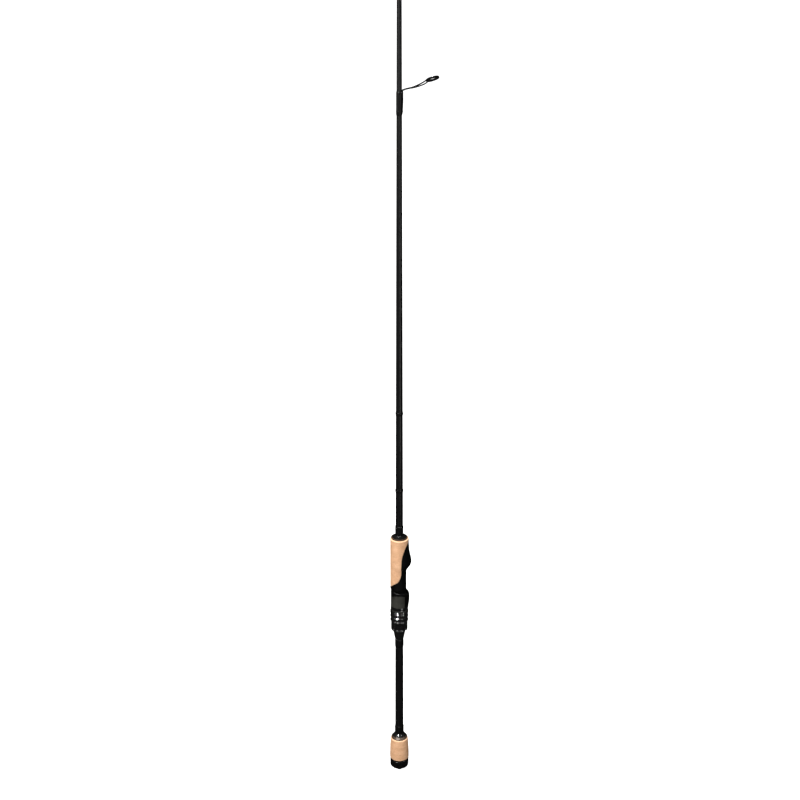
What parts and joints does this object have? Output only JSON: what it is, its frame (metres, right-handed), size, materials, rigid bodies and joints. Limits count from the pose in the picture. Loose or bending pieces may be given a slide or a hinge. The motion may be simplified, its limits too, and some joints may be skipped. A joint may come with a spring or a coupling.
{
  "type": "spinning rod",
  "caption": "One-piece spinning rod with split cork grip, sliding-hood reel seat and single-foot ringed guides along a tapered black blank.",
  "frame": {"origin": "centre of the flat end of the weight plug at the butt, on the blank's axis", "axes": "+Z along the blank to the tip, +X towards the reel foot and the guides"},
  "size_m": [0.0596, 0.0258, 2.1317],
  "materials": {
    "cork": "sanded natural cork, matt",
    "butt_rubber": "smooth black rubber, soft sheen",
    "seat_black": "black soft-touch moulded nylon, satin",
    "blank_black": "clear-coated dark graphite, fine spiral grain",
    "wrap_black": "black thread under glossy epoxy",
    "check_black": "black anodised, semi-gloss",
    "collar_grey": "dark grey anodised, satin",
    "frame_dark": "polished gunmetal-plated stainless steel",
    "ring_black": "polished black ceramic",
    "arbor_foam": "rigid grey foam"
  },
  "bodies": {
    "rod": {"blank": "blank_black", "butt_cap": "butt_rubber", "butt_cork_ring_1": "cork", "butt_cork_ring_2": "cork", "butt_cork_ring_3": "cork", "butt_grip_check": "check_black", "butt_weight_plug": "check_black", "front_handle_wrap": "wrap_black", "front_winding_check": "check_black", "guide_1_frame": "frame_dark", "guide_1_ring": "ring_black", "guide_1_wrap": "wrap_black", "guide_2_frame": "frame_dark", "guide_2_ring": "ring_black", "guide_2_wrap": "wrap_black", "guide_3_frame": "frame_dark", "guide_3_ring": "ring_black", "guide_3_wrap": "wrap_black", "guide_4_frame": "frame_dark", "guide_4_ring": "ring_black", "guide_4_wrap": "wrap_black", "guide_5_frame": "frame_dark", "guide_5_ring": "ring_black", "guide_5_wrap": "wrap_black", "guide_6_frame": "frame_dark", "guide_6_ring": "ring_black", "guide_6_wrap": "wrap_black", "guide_7_frame": "frame_dark", "guide_7_ring": "ring_black", "guide_7_wrap": "wrap_black", "guide_8_frame": "frame_dark", "guide_8_ring": "ring_black", "guide_8_wrap": "wrap_black", "rear_handle_wrap_lower": "wrap_black", "rear_handle_wrap_upper": "wrap_black", "rear_seat_check": "check_black", "reel_seat_body": "seat_black", "seat_arbor_front": "arbor_foam", "seat_arbor_middle": "arbor_foam", "seat_arbor_rear": "arbor_foam", "seat_cork_inlay": "cork", "tip_top_frame": "frame_dark", "tip_top_ring": "ring_black", "tip_top_wrap": "wrap_black", "trim_wrap_lower": "wrap_black", "trim_wrap_upper": "wrap_black"},
    "hood": {"moving_hood": "seat_black", "hood_collar": "collar_grey", "nut_thrust_washer": "collar_grey"},
    "nut": {"locking_nut": "seat_black", "nut_grip_ring": "check_black"}
  },
  "joints": [
    {"name": "hood_slide", "type": "slide", "parent": "rod", "child": "hood", "axis": [0, 0, 1], "range_m": [-0.015, 0]},
    {"name": "nut_turn", "type": "hinge", "parent": "hood", "child": "nut", "pos_m": [0, 0, 0.24], "axis": [0, 0, 1], "range_deg": [-2160, 0]}
  ],
  "couplings": [
    {"joint": "hood_slide", "follows": "nut_turn", "m_per_rad": 0.00039789}
  ]
}
